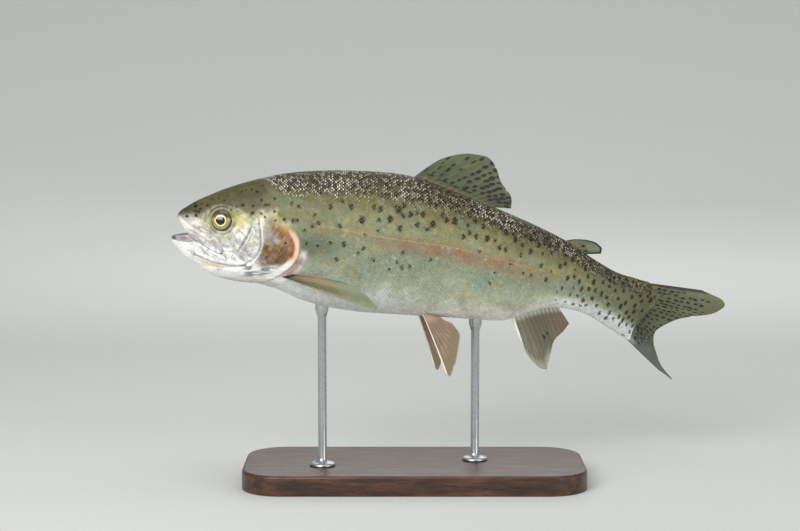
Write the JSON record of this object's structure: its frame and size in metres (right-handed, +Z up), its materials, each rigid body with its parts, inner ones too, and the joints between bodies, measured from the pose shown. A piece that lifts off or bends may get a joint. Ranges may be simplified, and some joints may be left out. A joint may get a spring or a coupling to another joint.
{
  "type": "rainbow trout",
  "caption": "Life-size rainbow trout swimming with its mouth open, held by two rods on a plain wooden display stand.",
  "frame": {"origin": "on the floor under the stand, at the middle of the whole part's length and width", "axes": "+X towards the tail, the fish swims towards -X; -Y is the side that the fish's left flank faces; +Z up"},
  "size_m": [0.3967, 0.1276, 0.2312],
  "materials": {
    "silver_skin": "wet pearly skin",
    "speckled_skin": "wet scales, olive with black spots",
    "grey_fin": "thin wet membrane on rays",
    "warm_fin": "thin wet membrane on rays",
    "eye": "clear and glossy",
    "stand_wood": "dark satin varnish",
    "stand_steel": "brushed"
  },
  "bodies": {
    "root": {"head": "silver_skin", "lower_jaw": "silver_skin", "maxilla_left": "silver_skin", "maxilla_right": "silver_skin", "gill_cover_left": "silver_skin", "gill_cover_right": "silver_skin", "eye_left": "eye", "eye_right": "eye", "trunk": "speckled_skin", "tail_stalk": "speckled_skin", "dorsal_fin": "grey_fin", "adipose_fin": "grey_fin", "anal_fin": "grey_fin", "tail_fin_upper": "grey_fin", "tail_fin_lower": "grey_fin", "pectoral_fin_left": "warm_fin", "pectoral_fin_right": "warm_fin", "pelvic_fin_left": "warm_fin", "pelvic_fin_right": "warm_fin", "stand_base": "stand_wood", "stand_rod_front": "stand_steel", "stand_rod_rear": "stand_steel"}
  },
  "joints": []
}
